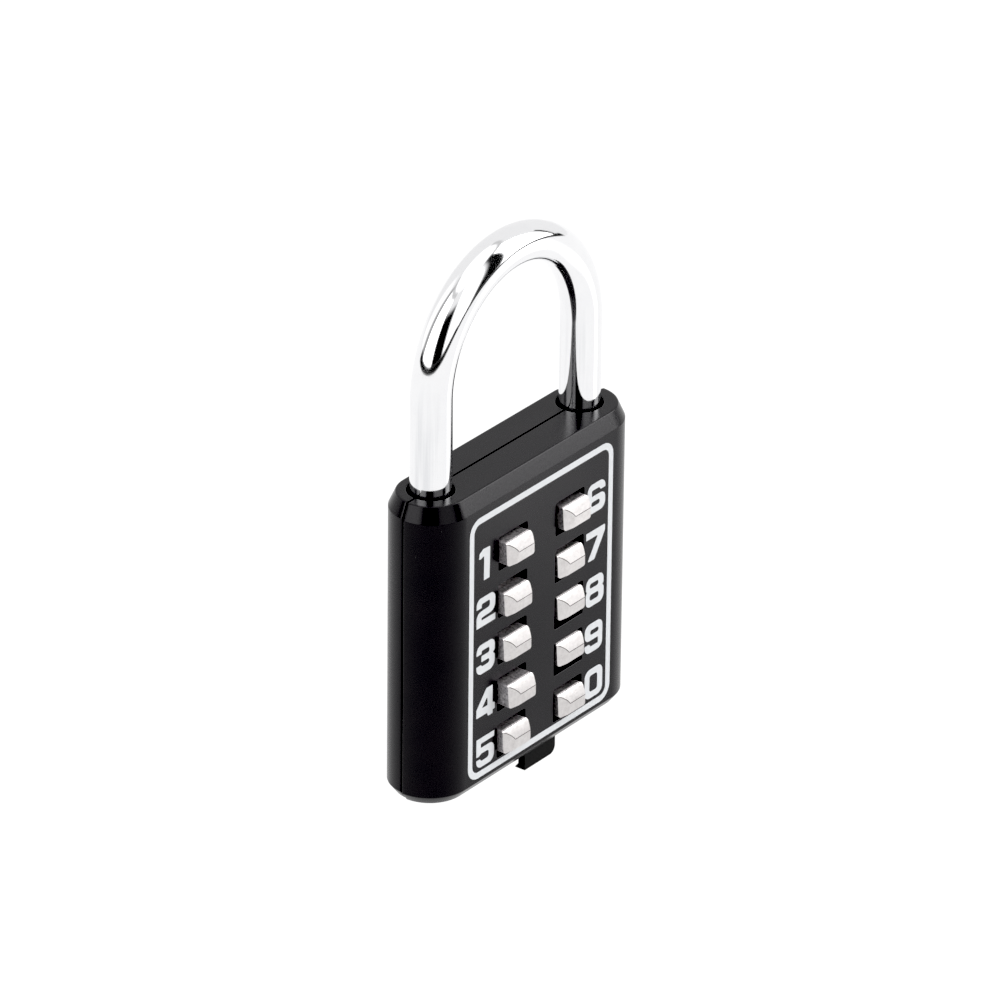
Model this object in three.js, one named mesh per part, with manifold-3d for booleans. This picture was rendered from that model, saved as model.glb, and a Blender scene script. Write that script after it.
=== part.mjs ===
// A small push-button padlock: two die-cast shells, a steel shackle, ten sprung buttons, a slotted gate
// plate that is drawn down by a pull tab, and a latch that the gate plate draws out of the shackle's toe.
//
// Millimetres, +Z up. Working coordinates: X across the front, Y from the front face to the back, with
// y = 0 on the shackle's plane, where the shells part, and z = 0 on the underside of the case. The outer
// group then moves the origin to the bottom centre of the whole object.

import * as THREE from 'three';
import { mergeVertices } from 'three/addons/utils/BufferGeometryUtils.js';
import { ConvexGeometry } from 'three/addons/geometries/ConvexGeometry.js';
import Module from 'manifold-3d';

const wasm = await Module();
wasm.setup();

// ---- Driving dimensions ----

const CLEARANCE = 0.3; // between pieces that touch or run on each other

// Shackle
const BAR_RADIUS = 3;
const HALF_PITCH = 16.9; // half the distance between the legs' centre lines
const ARCH_Z = 60.9; // where the legs turn into the round arch
const HEEL_END_Z = 12.6;
const TOE_END_Z = 38.9;
const ARCH_STEPS = 18;

// Case
const CASE_HEIGHT = 47.1;
const FRONT_Y = -6.5;
const REAR_Y = 5.75;
const FRONT_END_RADIUS = 6.35;
const REAR_END_RADIUS = 5.95;
const REAR_END_SHIFT = 0.2; // the rear shell's round ends sit a little further out
const TOP_CHAMFER = { inset: 1.03, height: 2.3 };
const BOTTOM_CHAMFER = { inset: 1.05, height: 1.4 };
const PARTING_GAP = 0.3;
const FRONT_WALL = 1.4;
const CAVITY_REAR_Y = 4.45;
const CAVITY_HALF_WIDTH = 11.4;
const CAVITY_BOTTOM_Z = 1.5;
const CAVITY_TOP_Z = 45.2;
const BORE_RADIUS = 3.5;
const HEEL_BORE_BOTTOM_Z = 6;
const TOE_BORE_BOTTOM_Z = 38.3;

// Buttons, in two columns of five
const COLUMN_X = 6.5;
const LEFT_COLUMN_SHIFT = -0.25;
const TOP_ROW_Z = 35.95;
const ROW_PITCH = 7.5;
const WINDOW = { width: 6.4, height: 5.2 };
const HEAD = { width: 5.6, height: 3.7, crown: 0.55, hip: 2.4 };
const FLANGE = { width: 7.6, height: 4.6, thickness: 0.8 };
const SHANK = { width: 5, height: 2, rearY: 0.9 };
const PRESS = 2; // travel of a button
const GATE_NOTCH = { length: 1.5, depth: 0.6 };

// Each button lies a little differently in its window: how far its edges stand proud of the front face,
// and its offset to the right and up. Pressed for the code: its gate notch lies one press further forward.
const BUTTONS = [
  { digit: 1, proud: 1.2, right: 0, up: 0.25, inCode: true },
  { digit: 2, proud: 0.9, right: 0, up: -0.3, inCode: false },
  { digit: 3, proud: 0.85, right: 0, up: -0.05, inCode: false },
  { digit: 4, proud: 1.75, right: 0, up: 0.25, inCode: true },
  { digit: 5, proud: 0.9, right: 0, up: 0.15, inCode: false },
  { digit: 6, proud: 0.7, right: 0.3, up: 0, inCode: true },
  { digit: 7, proud: 0.05, right: 0, up: -0.2, inCode: false },
  { digit: 8, proud: 0.05, right: 0.1, up: 0.5, inCode: false },
  { digit: 9, proud: 0.05, right: 0.1, up: 0.55, inCode: true },
  { digit: 0, proud: 0.35, right: 0.15, up: -0.15, inCode: false },
];

// Gate plate, pull tab and their travel
const TAB_TRAVEL = 3;
const PLATE = { frontY: -1.7, rearY: -0.9, halfWidth: 10.9, topZ: 44.6, tailBottomZ: 4.6 };
const SLOT = { innerX: 3.6, outerX: 9.7, margin: 0.4 };
const SPRING_WINDOW = { halfWidth: 1.6, bottomZ: 21.3, topZ: 34 };
const TAIL = { leftX: -0.6, rightX: 2.4, frontY: -4.05, rearY: -3.25, bottomZ: 0.7, kneeHeight: 1 };
const TAB = { leftX: -1.3, rightX: 5.9, frontY: -4.9, rearY: -2.4, topZ: 2.8, bottomZ: -3.1 };
const TAB_CORNER = { left: 0.3, right: 1.2 };
const TAB_LIP = { neckY: -3.8, rearY: -3.1, height: 0.9 }; // below the case the tab is thin, with a lip

// Latch and its cam
const LATCH = { leftX: 6.4, frontY: -0.6, rearY: 1.8, bottomZ: 39.4, topZ: 44.9 };
const LATCH_ENGAGEMENT = 1.2; // how far the nose reaches into the toe
const LATCH_TRAVEL = 3.6;
const NOSE = { topZ: 44.6, tipBottomZ: 43.2, slope: 2, baseX: 13.2 };
const NOTCH = { depth: 1.5, topZ: 45, play: 0.9 };
const CAM_PEG = { x: 7.6, z: 43.6, radius: 0.6, rearY: 1.5 };
const CAM_SLOT_RADIUS = 0.85;

// Guide plate, stop pin and rivets
const GUIDE = { frontY: 0, rearY: 0.8, halfWidth: 11.2, bottomZ: 2, topZ: 39.1 };
const GUIDE_LUG = { halfWidth: 1.2, bottomZ: 21.6, topZ: 22.4, frontY: -2.2 };
const STOP_PIN = { x: -14.2, z: 25.6, radius: 1, frontY: -4.2, rearY: 3.6 };
const HEEL_GROOVE = { bottomZ: 15.3, topZ: 27.2, depth: 1.6 };
const RIVET = { radius: 0.95, holeRadius: 1.15, bossRadius: 1.7, headRadius: 1.8, headDepth: 0.8 };
const RIVET_FRONT_Y = -4.4;
const RIVET_PLACES = [[0, 43.2], [-12.4, 3.2], [12.4, 3.2]];

// ---- Materials ----

const paintedMetal = { color: 0x141416, roughness: 0.42, metalness: 0.3 };
const chrome = { color: 0xe8e8ea, roughness: 0.06, metalness: 1 };
const nickel = { color: 0xc9c4c0, roughness: 0.38, metalness: 1 };
const blackPlastic = { color: 0x101011, roughness: 0.5, metalness: 0 };
const plainSteel = { color: 0x9a9a9c, roughness: 0.35, metalness: 1 };
const springSteel = { color: 0x8c8c90, roughness: 0.3, metalness: 1 };

// ---- Solids ----

// three.js divides an arc of a path into twice its curveSegments.
function arcSegments(count) {
  return count / 2;
}

function solid(geometry) {
  const bare = geometry.clone();
  bare.deleteAttribute('normal');
  bare.deleteAttribute('uv');
  const merged = mergeVertices(bare, 1e-4);
  return new wasm.Manifold(new wasm.Mesh({
    numProp: 3,
    vertProperties: new Float32Array(merged.attributes.position.array),
    triVerts: new Uint32Array(merged.index.array),
  }));
}

function geometryOf(manifold) {
  const { vertProperties, triVerts } = manifold.getMesh();
  const geometry = new THREE.BufferGeometry();
  geometry.setAttribute('position', new THREE.BufferAttribute(new Float32Array(vertProperties), 3));
  geometry.setIndex(new THREE.BufferAttribute(new Uint32Array(triVerts), 1));
  geometry.computeVertexNormals();
  return geometry;
}

function block([x0, x1], [y0, y1], [z0, z1]) {
  const box = new THREE.BoxGeometry(x1 - x0, y1 - y0, z1 - z0);
  box.translate((x0 + x1) / 2, (y0 + y1) / 2, (z0 + z1) / 2);
  return solid(box);
}

function rodAlongY(x, z, [y0, y1], radius, sides = 16) {
  const rod = new THREE.CylinderGeometry(radius, radius, y1 - y0, sides);
  rod.translate(x, (y0 + y1) / 2, z);
  return solid(rod);
}

function rodAlongZ(x, y, [z0, z1], radius, sides = 24) {
  const rod = new THREE.CylinderGeometry(radius, radius, z1 - z0, sides);
  rod.rotateX(Math.PI / 2);
  rod.translate(x, y, (z0 + z1) / 2);
  return solid(rod);
}

// A plate whose outline is drawn in X and Z, between two values of y.
function plateInXZ(shape, [y0, y1], segments = 8) {
  const plate = new THREE.ExtrudeGeometry(shape, {
    depth: y1 - y0,
    bevelEnabled: false,
    curveSegments: arcSegments(segments),
  });
  plate.rotateX(Math.PI / 2);
  plate.translate(0, y1, 0);
  return solid(plate);
}

function outline(points) {
  return new THREE.Shape(points.map(([across, up]) => new THREE.Vector2(across, up)));
}

// ---- Layout ----

const proudest = Math.max(...BUTTONS.map((button) => button.proud));
const centreY = (FRONT_Y - proudest - HEAD.crown + REAR_Y) / 2;
const flangeFrontY = FRONT_Y + FRONT_WALL + CLEARANCE;
const flangeRearY = flangeFrontY + FLANGE.thickness;

function placeOf(button) {
  const index = BUTTONS.indexOf(button);
  const column = index < 5 ? -1 : 1;
  const row = index % 5;
  const windowX = column * COLUMN_X;
  const windowZ = TOP_ROW_Z - row * ROW_PITCH;
  const shift = column < 0 ? LEFT_COLUMN_SHIFT : 0;
  return { windowX, windowZ, x: windowX + shift + button.right, z: windowZ + button.up };
}

// ---- Case ----

function bevelled(shape, [z0, z1], { inset, height }) {
  const geometry = new THREE.ExtrudeGeometry(shape, {
    depth: z1 - z0 - 2 * height,
    bevelThickness: height,
    bevelSize: inset,
    bevelOffset: -inset,
    bevelSegments: 1,
    curveSegments: arcSegments(16),
  });
  geometry.translate(0, 0, z0 + height);
  return solid(geometry);
}

// The full case block with a chamfer round its top and a shallower one round its bottom.
function caseBlank(halfSpan, radius, endY) {
  const shape = new THREE.Shape();
  shape.absarc(halfSpan, endY, radius, -Math.PI / 2, Math.PI / 2, false);
  shape.absarc(-halfSpan, endY, radius, Math.PI / 2, 1.5 * Math.PI, false);
  shape.closePath();
  const spare = 10;
  const topped = bevelled(shape, [-spare, CASE_HEIGHT], TOP_CHAMFER);
  return topped.intersect(bevelled(shape, [0, CASE_HEIGHT + spare], BOTTOM_CHAMFER));
}

function rivetBosses(radius) {
  const bosses = RIVET_PLACES.map(([x, z]) => rodAlongY(x, z, [-10, 10], radius));
  return bosses.reduce((joined, boss) => joined.add(boss));
}

// Everything that both shells are hollowed by: the bores, the latch tunnel and the stop pin's pocket.
function shackleHollows() {
  const { x, z, radius, frontY, rearY } = STOP_PIN;
  const tunnelY = [LATCH.frontY - CLEARANCE, LATCH.rearY + CLEARANCE];
  const tunnelZ = [LATCH.bottomZ - CLEARANCE, LATCH.topZ + CLEARANCE];
  return rodAlongZ(-HALF_PITCH, 0, [HEEL_BORE_BOTTOM_Z, CASE_HEIGHT + 1], BORE_RADIUS)
    .add(rodAlongZ(HALF_PITCH, 0, [TOE_BORE_BOTTOM_Z, CASE_HEIGHT + 1], BORE_RADIUS))
    .add(block([CAVITY_HALF_WIDTH - 1, HALF_PITCH], tunnelY, tunnelZ))
    .add(rodAlongY(x, z, [frontY - CLEARANCE, rearY + CLEARANCE], radius + CLEARANCE));
}

function frontCase() {
  const cavity = block(
    [-CAVITY_HALF_WIDTH, CAVITY_HALF_WIDTH],
    [FRONT_Y + FRONT_WALL, 10],
    [CAVITY_BOTTOM_Z, CAVITY_TOP_Z],
  ).subtract(rivetBosses(RIVET.bossRadius));
  const tabSlot = block(
    [TAB.leftX - CLEARANCE, TAB.rightX + CLEARANCE],
    [FRONT_Y + FRONT_WALL, TAB.rearY + CLEARANCE],
    [-1, CAVITY_BOTTOM_Z + 1],
  );
  let shell = caseBlank(HALF_PITCH, FRONT_END_RADIUS, FRONT_Y + FRONT_END_RADIUS)
    .subtract(block([-30, 30], [-PARTING_GAP / 2, 10], [-1, 60]))
    .subtract(cavity)
    .subtract(tabSlot)
    .subtract(shackleHollows());
  for (const [x, z] of RIVET_PLACES) {
    shell = shell.subtract(rodAlongY(x, z, [RIVET_FRONT_Y - CLEARANCE, 1], RIVET.holeRadius));
  }
  for (const button of BUTTONS) {
    const { windowX, windowZ } = placeOf(button);
    shell = shell.subtract(block(
      [windowX - WINDOW.width / 2, windowX + WINDOW.width / 2],
      [FRONT_Y - 1, FRONT_Y + FRONT_WALL + 1],
      [windowZ - WINDOW.height / 2, windowZ + WINDOW.height / 2],
    ));
  }
  return shell;
}

// The rear cavity steps in behind the guide plate, which rests on the ledge.
function rearCase() {
  const ledgeY = GUIDE.rearY + CLEARANCE / 2;
  const height = [CAVITY_BOTTOM_Z, CAVITY_TOP_Z];
  const ledge = 0.6;
  const cavity = block([-CAVITY_HALF_WIDTH, CAVITY_HALF_WIDTH], [-1, ledgeY], height)
    .add(block([ledge - CAVITY_HALF_WIDTH, CAVITY_HALF_WIDTH - ledge], [-1, CAVITY_REAR_Y], height))
    .subtract(rivetBosses(RIVET.bossRadius));
  let shell = caseBlank(HALF_PITCH + REAR_END_SHIFT, REAR_END_RADIUS, REAR_Y - REAR_END_RADIUS)
    .subtract(block([-30, 30], [-10, PARTING_GAP / 2], [-1, 60]))
    .subtract(cavity)
    .subtract(shackleHollows());
  for (const [x, z] of RIVET_PLACES) {
    const headY = REAR_Y - RIVET.headDepth - CLEARANCE;
    shell = shell
      .subtract(rodAlongY(x, z, [-1, REAR_Y + 1], RIVET.holeRadius))
      .subtract(rodAlongY(x, z, [headY, REAR_Y + 1], RIVET.headRadius + CLEARANCE / 2));
  }
  return shell;
}

function rivet([x, z]) {
  const shank = rodAlongY(x, z, [RIVET_FRONT_Y, REAR_Y - RIVET.headDepth / 2], RIVET.radius);
  return shank.add(rodAlongY(x, z, [REAR_Y - RIVET.headDepth, REAR_Y], RIVET.headRadius));
}

// ---- Shackle ----

// One step up the heel leg, ARCH_STEPS round the arch and one step down the toe leg.
class ShackleLine extends THREE.Curve {
  getPoint(t) {
    const step = t * (ARCH_STEPS + 2);
    if (step < 1) {
      return new THREE.Vector3(-HALF_PITCH, 0, THREE.MathUtils.lerp(HEEL_END_Z, ARCH_Z, step));
    }
    if (step > ARCH_STEPS + 1) {
      const down = step - ARCH_STEPS - 1;
      return new THREE.Vector3(HALF_PITCH, 0, THREE.MathUtils.lerp(ARCH_Z, TOE_END_Z, down));
    }
    const angle = Math.PI * (1 - (step - 1) / ARCH_STEPS);
    return new THREE.Vector3(HALF_PITCH * Math.cos(angle), 0, ARCH_Z + HALF_PITCH * Math.sin(angle));
  }

  // Steps are wanted where the bend is, so the curve isn't spaced evenly by length.
  getUtoTmapping(u) {
    return u;
  }
}

// The toe's notch has a shoulder that slopes like the latch's nose, set lower by the play.
function toeNotch() {
  const innerX = HALF_PITCH - BAR_RADIUS;
  const lowZ = NOSE.tipBottomZ - NOSE.slope * LATCH_ENGAGEMENT - NOTCH.play;
  const spare = 1;
  return plateInXZ(outline([
    [innerX - spare, lowZ - spare * NOSE.slope],
    [innerX + NOTCH.depth, lowZ + NOTCH.depth * NOSE.slope],
    [innerX + NOTCH.depth, NOTCH.topZ],
    [innerX - spare, NOTCH.topZ],
  ]), [-5, 5]);
}

function shackle() {
  const section = new THREE.Shape().absarc(0, 0, BAR_RADIUS, 0, 2 * Math.PI, false);
  const bar = new THREE.ExtrudeGeometry(section, {
    steps: ARCH_STEPS + 2,
    extrudePath: new ShackleLine(),
    curveSegments: arcSegments(20),
  });
  const grooveX = -HALF_PITCH + BAR_RADIUS - HEEL_GROOVE.depth;
  return solid(bar)
    .subtract(toeNotch())
    .subtract(block([grooveX, grooveX + 5], [-5, 5], [HEEL_GROOVE.bottomZ, HEEL_GROOVE.topZ]));
}

// ---- Buttons ----

// The head has a curved upper face that rises to a level ridge, a nearly flat lower face and a hip that
// falls away to the left.
function buttonHead({ proud }, { x, z }) {
  const left = x - HEAD.width / 2;
  const right = x + HEAD.width / 2;
  const bottom = z - HEAD.height / 2;
  const top = z + HEAD.height / 2;
  const edgeY = FRONT_Y - proud;
  const ridgeY = edgeY - HEAD.crown;
  const upperY = edgeY - 0.65 * HEAD.crown;
  const upperZ = z + HEAD.height / 4;
  const backY = flangeRearY - FLANGE.thickness / 2;
  const corners = [
    [left, edgeY, bottom],
    [left, edgeY, top],
    [right, edgeY, top],
    [right, upperY, upperZ],
    [left + HEAD.hip / 2, upperY, upperZ],
    [right, ridgeY, z],
    [left + HEAD.hip, ridgeY, z],
    [right, ridgeY + 0.05, bottom],
    [left + HEAD.hip / 2, ridgeY + 0.2, bottom],
    [left, backY, bottom],
    [left, backY, top],
    [right, backY, bottom],
    [right, backY, top],
  ];
  return solid(new ConvexGeometry(corners.map((corner) => new THREE.Vector3(...corner))));
}

function button(spec) {
  const place = placeOf(spec);
  const { x, z } = place;
  const flange = block(
    [x - FLANGE.width / 2, x + FLANGE.width / 2],
    [flangeFrontY, flangeRearY],
    [z - FLANGE.height / 2, z + FLANGE.height / 2],
  );
  const shank = block(
    [x - SHANK.width / 2, x + SHANK.width / 2],
    [flangeRearY - FLANGE.thickness / 2, SHANK.rearY],
    [z - SHANK.height / 2, z + SHANK.height / 2],
  );
  const gateY = (PLATE.frontY + PLATE.rearY) / 2 - (spec.inCode ? PRESS : 0);
  const gateNotch = block(
    [x - SHANK.width, x + SHANK.width],
    [gateY - GATE_NOTCH.length / 2, gateY + GATE_NOTCH.length / 2],
    [z + SHANK.height / 2 - GATE_NOTCH.depth, z + SHANK.height],
  );
  return buttonHead(spec, place).add(flange).add(shank.subtract(gateNotch));
}

// ---- Springs ----

// A coil along +Y from the origin, which narrows evenly to the tip radius.
class Coil extends THREE.Curve {
  constructor(radius, tipRadius, length, turns) {
    super();
    Object.assign(this, { radius, tipRadius, length, turns });
  }

  getPoint(t) {
    const angle = 2 * Math.PI * this.turns * t;
    const radius = THREE.MathUtils.lerp(this.radius, this.tipRadius, t);
    return new THREE.Vector3(radius * Math.cos(angle), this.length * t, radius * Math.sin(angle));
  }
}

function coilSpring({ radius, tipRadius = radius, length, turns, wire, stepsPerTurn = 8, wireSides = 4 }) {
  const section = new THREE.Shape().absarc(0, 0, wire, 0, 2 * Math.PI, false);
  return new THREE.ExtrudeGeometry(section, {
    steps: turns * stepsPerTurn,
    extrudePath: new Coil(radius, tipRadius, length, turns),
    curveSegments: arcSegments(wireSides),
  });
}

const BUTTON_SPRING = { radius: 0.75, length: 2.65, turns: 3, wire: 0.15 };
const LATCH_SPRING = { radius: 1, tipRadius: 0.3, length: 3.6, turns: 2, wire: 0.15, stepsPerTurn: 12 };
const GATE_SPRING = { radius: 0.8, length: 10.6, turns: 6, wire: 0.15 };
const SHACKLE_SPRING = { radius: 2.5, length: 5.2, turns: 3, wire: 0.35, stepsPerTurn: 12, wireSides: 6 };

// ---- Gate plate, pull tab, latch, guide plate and stop pin ----

// Each slot clears its button's shank over the whole travel of the plate. The lowest pair is open below.
function gatePlate() {
  const { frontY, rearY, halfWidth, topZ, tailBottomZ } = PLATE;
  const thickness = [frontY, rearY];
  let plate = block([-halfWidth, halfWidth], thickness, [tailBottomZ, topZ]);
  for (const spec of BUTTONS) {
    const { windowX, z } = placeOf(spec);
    const across = windowX < 0 ? [-SLOT.outerX, -SLOT.innerX] : [SLOT.innerX, SLOT.outerX];
    const low = z - SHANK.height / 2 - SLOT.margin;
    const high = z + SHANK.height / 2 + TAB_TRAVEL + SLOT.margin;
    plate = plate.subtract(block(across, [-5, 5], [low, high]));
  }
  const lowestRowZ = TOP_ROW_Z - 4 * ROW_PITCH;
  const footZ = lowestRowZ + SHANK.height / 2 + TAB_TRAVEL + 2 * SLOT.margin;
  const bossNotch = RIVET.bossRadius + CLEARANCE;
  const [, topRivetZ] = RIVET_PLACES[0];
  const tailX = [TAIL.leftX, TAIL.rightX];
  const peg = rodAlongY(CAM_PEG.x, CAM_PEG.z, [rearY - 0.4, CAM_PEG.rearY], CAM_PEG.radius, 12);
  return plate
    .subtract(block([-20, -SLOT.innerX], [-5, 5], [0, footZ]))
    .subtract(block([SLOT.innerX, 20], [-5, 5], [0, footZ]))
    .subtract(block([-bossNotch, bossNotch], [-5, 5], [topRivetZ - bossNotch, 60]))
    .subtract(block(
      [-SPRING_WINDOW.halfWidth, SPRING_WINDOW.halfWidth],
      [-5, 5],
      [SPRING_WINDOW.bottomZ, SPRING_WINDOW.topZ],
    ))
    .add(block(tailX, [TAIL.frontY, rearY], [tailBottomZ, tailBottomZ + TAIL.kneeHeight]))
    .add(block(tailX, [TAIL.frontY, TAIL.rearY], [TAIL.bottomZ, tailBottomZ + TAIL.kneeHeight]))
    .add(peg);
}

// A plastic grip pushed onto the plate's tail, with a lip behind its lower edge for a fingernail.
function releaseTab() {
  const { leftX, rightX, frontY, rearY, topZ, bottomZ } = TAB;
  const { left, right } = TAB_CORNER;
  const face = new THREE.Shape();
  face.moveTo(leftX, topZ);
  face.lineTo(leftX, bottomZ + left);
  face.absarc(leftX + left, bottomZ + left, left, Math.PI, 1.5 * Math.PI, false);
  face.lineTo(rightX - right, bottomZ);
  face.absarc(rightX - right, bottomZ + right, right, -Math.PI / 2, 0, false);
  face.lineTo(rightX, topZ);
  const across = [leftX - 1, rightX + 1];
  const lip = new ConvexGeometry(across.flatMap((x) => [
    new THREE.Vector3(x, frontY - 1, bottomZ - 1),
    new THREE.Vector3(x, TAB_LIP.rearY, bottomZ - 1),
    new THREE.Vector3(x, TAB_LIP.rearY, bottomZ),
    new THREE.Vector3(x, TAB_LIP.neckY, bottomZ + TAB_LIP.height),
    new THREE.Vector3(x, frontY - 1, bottomZ + TAB_LIP.height),
  ]));
  const section = solid(lip)
    .add(block(across, [frontY - 1, TAB_LIP.neckY], [bottomZ, topZ + 1]))
    .add(block(across, [frontY - 1, rearY], [CLEARANCE, topZ + 1]));
  const fit = 0.2;
  const socket = block(
    [TAIL.leftX - fit, TAIL.rightX + fit],
    [TAIL.frontY - fit, TAIL.rearY + fit],
    [TAIL.bottomZ - fit, topZ + 1],
  );
  return plateInXZ(face, [frontY, rearY], 6).intersect(section).subtract(socket);
}

function toeLatch() {
  const tipX = HALF_PITCH - BAR_RADIUS + LATCH_ENGAGEMENT;
  const bevel = 0.6;
  const body = plateInXZ(outline([
    [LATCH.leftX, LATCH.bottomZ],
    [tipX - (NOSE.tipBottomZ - LATCH.bottomZ) / NOSE.slope, LATCH.bottomZ],
    [tipX, NOSE.tipBottomZ],
    [tipX, NOSE.topZ - bevel],
    [tipX - bevel, NOSE.topZ],
    [NOSE.baseX, NOSE.topZ],
    [NOSE.baseX - CLEARANCE, LATCH.topZ],
    [LATCH.leftX, LATCH.topZ],
  ]), [LATCH.frontY, LATCH.rearY]);
  const slotAngle = Math.atan2(-TAB_TRAVEL, LATCH_TRAVEL);
  const side = slotAngle + Math.PI / 2;
  const slot = new THREE.Shape();
  slot.absarc(CAM_PEG.x, CAM_PEG.z, CAM_SLOT_RADIUS, side, side + Math.PI, false);
  slot.absarc(
    CAM_PEG.x + LATCH_TRAVEL,
    CAM_PEG.z - TAB_TRAVEL,
    CAM_SLOT_RADIUS,
    side + Math.PI,
    side + 2 * Math.PI,
    false,
  );
  return body.subtract(plateInXZ(slot, [-5, 5], 6));
}

function guidePlate() {
  const { frontY, rearY, halfWidth, bottomZ, topZ } = GUIDE;
  let plate = block([-halfWidth, halfWidth], [frontY, rearY], [bottomZ, topZ])
    .subtract(rivetBosses(RIVET.bossRadius + CLEARANCE));
  for (const spec of BUTTONS) {
    const { x, z } = placeOf(spec);
    plate = plate.subtract(block(
      [x - SHANK.width / 2 - CLEARANCE, x + SHANK.width / 2 + CLEARANCE],
      [-5, 5],
      [z - SHANK.height / 2 - CLEARANCE, z + SHANK.height / 2 + CLEARANCE],
    ));
  }
  return plate.add(block(
    [-GUIDE_LUG.halfWidth, GUIDE_LUG.halfWidth],
    [GUIDE_LUG.frontY, rearY],
    [GUIDE_LUG.bottomZ, GUIDE_LUG.topZ],
  ));
}

// ---- Assembly ----

const padlock = new THREE.Group();
padlock.position.set(0, -centreY, -TAB.bottomZ);

function addMesh(name, geometry, finish) {
  const mesh = new THREE.Mesh(geometry, new THREE.MeshStandardMaterial(finish));
  mesh.name = name;
  padlock.add(mesh);
  return mesh;
}

addMesh('front_case', geometryOf(frontCase()), paintedMetal);
addMesh('rear_case', geometryOf(rearCase()), paintedMetal);
addMesh('shackle', geometryOf(shackle()), chrome);
addMesh('gate_plate', geometryOf(gatePlate()), plainSteel);
addMesh('release_tab', geometryOf(releaseTab()), blackPlastic);
addMesh('toe_latch', geometryOf(toeLatch()), plainSteel);
addMesh('stem_guide_plate', geometryOf(guidePlate()), plainSteel);

const stopPin = rodAlongY(STOP_PIN.x, STOP_PIN.z, [STOP_PIN.frontY, STOP_PIN.rearY], STOP_PIN.radius);
addMesh('heel_stop_pin', geometryOf(stopPin), plainSteel);

RIVET_PLACES.forEach((place, index) => {
  addMesh(`case_rivet_${index + 1}`, geometryOf(rivet(place)), plainSteel);
});

for (const spec of BUTTONS) {
  const { x, z } = placeOf(spec);
  addMesh(`button_${spec.digit}`, geometryOf(button(spec)), nickel);
  const spring = addMesh(`button_spring_${spec.digit}`, coilSpring(BUTTON_SPRING), springSteel);
  spring.position.set(x, SHANK.rearY + CLEARANCE + BUTTON_SPRING.wire, z);
}

const latchSpring = addMesh('latch_spring', coilSpring(LATCH_SPRING), springSteel);
latchSpring.rotation.z = Math.PI / 2;
latchSpring.position.set(LATCH.leftX - CLEARANCE, (LATCH.frontY + LATCH.rearY) / 2, 42.5);

const gateSpring = addMesh('gate_spring', coilSpring(GATE_SPRING), springSteel);
gateSpring.rotation.x = Math.PI / 2;
gateSpring.position.set(0, (PLATE.frontY + PLATE.rearY) / 2, GUIDE_LUG.topZ + CLEARANCE + GATE_SPRING.wire);

const shackleSpring = addMesh('shackle_spring', coilSpring(SHACKLE_SPRING), springSteel);
shackleSpring.rotation.x = Math.PI / 2;
shackleSpring.position.set(-HALF_PITCH, 0, HEEL_BORE_BOTTOM_Z + CLEARANCE + SHACKLE_SPRING.wire);

export default padlock;
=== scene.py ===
"""Push-button padlock: the visual model and its studio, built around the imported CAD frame.

Shapes are written in millimetres from the case's datum: x across the front, y from front to back with 0 on
the shackle's plane, and z up from the underside of the case.
"""

import math

import bmesh
import bpy
from mathutils import Matrix, Vector


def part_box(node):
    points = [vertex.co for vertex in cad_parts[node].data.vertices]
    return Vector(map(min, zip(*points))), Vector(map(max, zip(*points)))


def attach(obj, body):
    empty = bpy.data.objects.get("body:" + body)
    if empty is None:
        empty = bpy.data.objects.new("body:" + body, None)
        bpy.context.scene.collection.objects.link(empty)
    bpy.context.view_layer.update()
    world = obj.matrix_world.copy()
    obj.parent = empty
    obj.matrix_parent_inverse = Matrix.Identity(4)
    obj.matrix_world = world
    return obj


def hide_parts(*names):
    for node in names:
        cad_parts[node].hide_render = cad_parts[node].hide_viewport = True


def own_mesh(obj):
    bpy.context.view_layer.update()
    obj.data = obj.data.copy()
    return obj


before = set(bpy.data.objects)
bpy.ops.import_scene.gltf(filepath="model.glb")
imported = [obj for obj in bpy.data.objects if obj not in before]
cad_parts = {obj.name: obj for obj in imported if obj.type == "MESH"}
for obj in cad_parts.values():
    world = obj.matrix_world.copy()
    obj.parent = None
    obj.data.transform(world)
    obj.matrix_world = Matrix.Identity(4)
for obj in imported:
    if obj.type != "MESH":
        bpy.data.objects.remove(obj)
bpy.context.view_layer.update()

MM = 0.001  # in metres
PAST = 1  # how far a cutter reaches past what it cuts

# ---- Places and sizes, from the frame ----

shackle_low, shackle_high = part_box("shackle")
case_low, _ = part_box("front_case")
DATUM = Vector((0, (shackle_low.y + shackle_high.y) / 2, case_low.z))


def node_box(name):
    """A CAD node's lowest and highest corners, in millimetres from the datum."""
    low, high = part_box(name)
    return (low - DATUM) / MM, (high - DATUM) / MM


def front_centre(name):
    """The middle of a CAD node seen from the front, as (x, z)."""
    low, high = node_box(name)
    return (low.x + high.x) / 2, (low.z + high.z) / 2


def half_width(name):
    low, high = node_box(name)
    return (high.x - low.x) / 2


CASE_LOW, CASE_HIGH = node_box("front_case")
_, REAR_HIGH = node_box("rear_case")
BAR_LOW, BAR_HIGH = node_box("shackle")
TAB_LOW, TAB_HIGH = node_box("release_tab")

FRONT_Y = CASE_LOW.y
REAR_Y = REAR_HIGH.y
CASE_TOP = CASE_HIGH.z
BAR_RADIUS = BAR_HIGH.y
HALF_PITCH = BAR_HIGH.x - BAR_RADIUS
ARCH_Z = BAR_HIGH.z - BAR_RADIUS - HALF_PITCH

# ---- Sizes of the details ----

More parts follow.
